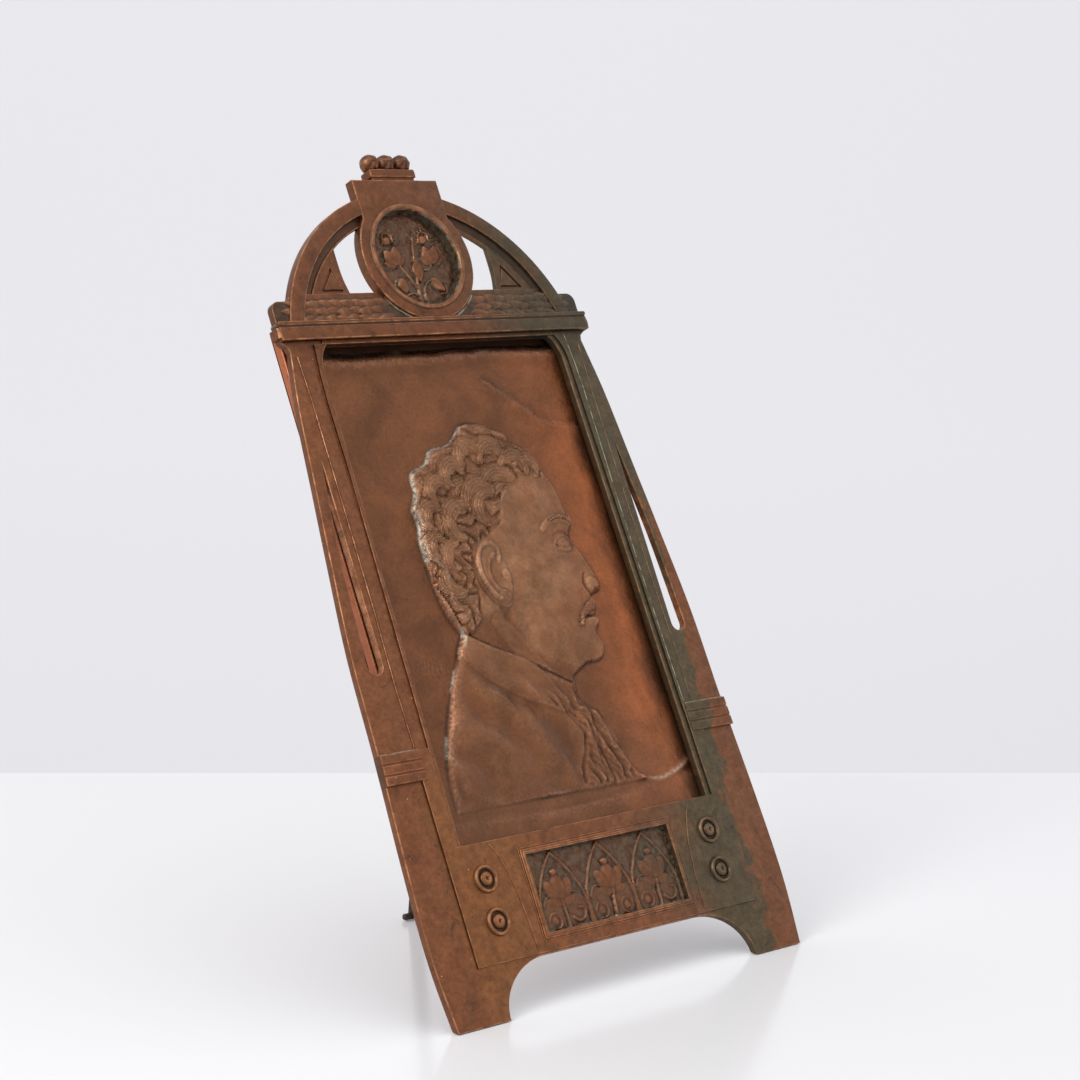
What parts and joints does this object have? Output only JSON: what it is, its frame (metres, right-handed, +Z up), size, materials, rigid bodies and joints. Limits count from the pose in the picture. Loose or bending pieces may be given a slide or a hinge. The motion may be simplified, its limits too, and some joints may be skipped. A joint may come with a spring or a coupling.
{
  "type": "relief plaque",
  "caption": "Bronze frame leaning on two feet and a hinged rear strut, with an arched top, open slots in its flared legs and a copper relief of a man's head in profile behind its window.",
  "frame": {"origin": "centre of the footprint at the level of the soles, with the strut open", "axes": "+Z up, -Y out of the relief's face, which leans back by 25.6 degrees, +X to the right as the face is seen"},
  "size_m": [0.1864, 0.1556, 0.3167],
  "materials": {
    "bronze": "cast bronze, reddish brown with a grey-green patina and worn edges",
    "relief_copper": "pressed sheet copper, warm brown, softly worn",
    "tray_copper": "folded sheet copper, reddish brown",
    "dark_bronze": "dark brown patinated bronze",
    "pin_steel": "dulled steel"
  },
  "bodies": {
    "stand": {"frame": "bronze", "back_tray": "tray_copper", "portrait_relief": "relief_copper", "hinge_bracket": "dark_bronze", "hinge_pin": "pin_steel"},
    "strut": {"easel_strut": "dark_bronze"}
  },
  "joints": [
    {"name": "strut_fold", "type": "hinge", "parent": "stand", "child": "strut", "pos_m": [0, 0.0349, 0.19896], "axis": [-1, 0, 0], "range_deg": [0, 31]}
  ]
}
